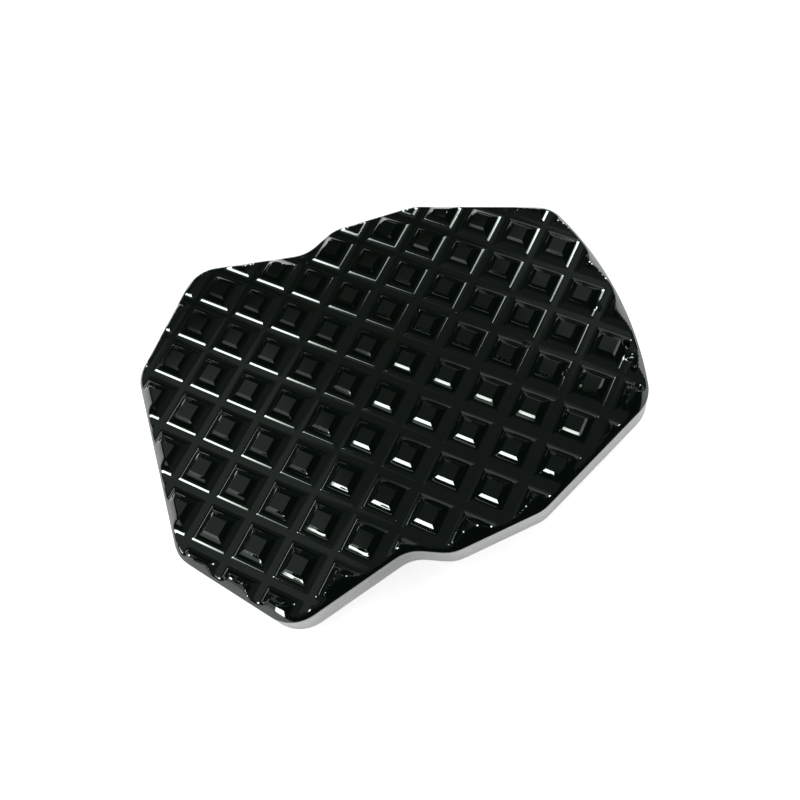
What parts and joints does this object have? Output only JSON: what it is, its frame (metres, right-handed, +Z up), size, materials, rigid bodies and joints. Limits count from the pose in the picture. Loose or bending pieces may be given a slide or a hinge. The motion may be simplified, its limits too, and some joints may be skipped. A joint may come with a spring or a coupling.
{
  "type": "kickstand pad",
  "caption": "Broad lobed foot that clamps under a motorcycle's side stand, with a waffle tread ground face, a foot pocket and a screwed clamp frame.",
  "frame": {"origin": "under the middle of the plate, on the plane that the clamp frame rests on", "axes": "+X along the plate towards its bowed nose, +Y across it to the left, +Z up out of the tread, which is the face that meets the ground in use"},
  "size_m": [0.0878, 0.0716, 0.0135],
  "materials": {
    "tread_coat": "smooth glossy near-black coat",
    "machined_body": "bare, fine milled, with horizontal tool lines on the wall",
    "frame_metal": "bare, fine milled",
    "screw_steel": "plain stainless"
  },
  "bodies": {
    "root": {"tread_plate": "tread_coat", "body_plate": "machined_body", "clamp_frame": "frame_metal", "clamp_screws": "screw_steel"}
  },
  "joints": []
}
